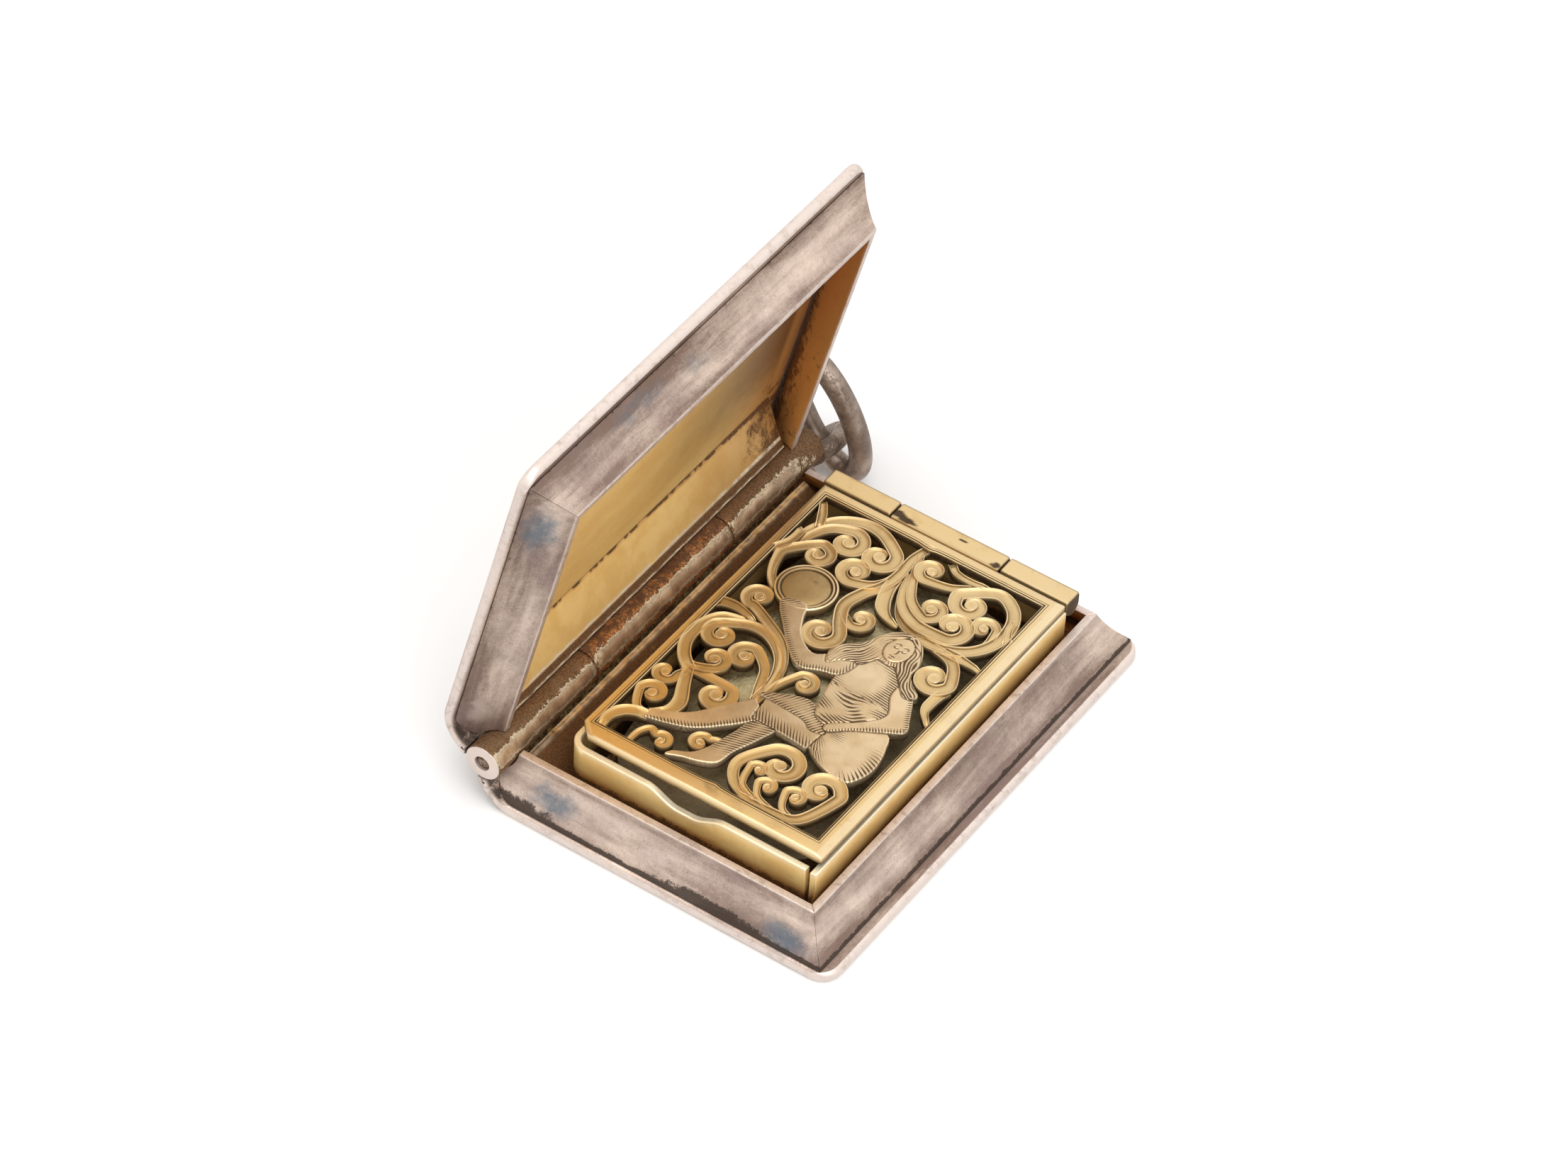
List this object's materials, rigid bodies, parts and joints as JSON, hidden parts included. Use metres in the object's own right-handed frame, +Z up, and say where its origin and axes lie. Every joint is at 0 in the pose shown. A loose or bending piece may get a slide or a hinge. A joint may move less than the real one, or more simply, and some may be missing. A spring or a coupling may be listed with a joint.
{
  "type": "vinaigrette box",
  "caption": "Book-shaped silver vinaigrette with a hinged lid, gilt inside, a pierced scroll grille with a dancing figure on its own hinge over a sponge, and a hanging bail.",
  "frame": {"origin": "middle of the flat underside of the lower board, where the box stands", "axes": "+Z up, +X from the spine to the fore-edge, +Y along the spine from the tail to the head, where the bail hangs"},
  "size_m": [0.0263, 0.0355, 0.0265],
  "materials": {
    "silver": "old silver, rubbed bright at the edges, with grey and brown tarnish",
    "worn_silver": "dark tarnished silver with residue",
    "gilt": "silver-gilt, stained brown in the corners",
    "grille_gilt": "chased silver-gilt, worn pale on the raised parts",
    "pin": "dark wire",
    "sponge": "dry natural sponge"
  },
  "bodies": {
    "base": {"base_board": "silver", "base_fore_edge_wall": "silver", "base_head_wall": "silver", "base_tail_wall": "silver", "base_spine_strip": "gilt", "base_knuckle": "worn_silver", "hinge_pin": "pin", "liner": "gilt", "sponge": "sponge", "grille_spine_knuckle": "grille_gilt", "grille_fore_knuckle": "grille_gilt", "grille_pin": "pin", "pendant_eye": "worn_silver"},
    "lid": {"lid_board": "silver", "lid_fore_edge_wall": "silver", "lid_head_wall": "silver", "lid_tail_wall": "silver", "lid_spine_strip": "gilt", "lid_tail_knuckle": "worn_silver", "lid_head_knuckle": "worn_silver"},
    "grille": {"grille_plate": "grille_gilt", "grille_knuckle": "grille_gilt"},
    "bail": {"pendant_bail": "worn_silver"}
  },
  "joints": [
    {"name": "lid_hinge", "type": "hinge", "parent": "base", "child": "lid", "pos_m": [-0.01265, 0, 0.0032], "axis": [0, -1, 0], "range_deg": [-76.85, 66]},
    {"name": "grille_hinge", "type": "hinge", "parent": "base", "child": "grille", "pos_m": [0, 0.01281, 0.00443], "axis": [-1, 0, 0], "range_deg": [-0.5, 0.25]},
    {"name": "bail_swing", "type": "hinge", "parent": "base", "child": "bail", "pos_m": [-0.0126, 0.01745, 0.00185], "axis": [-0.7145, 0, 0.6997], "range_deg": [-10, 185]}
  ]
}
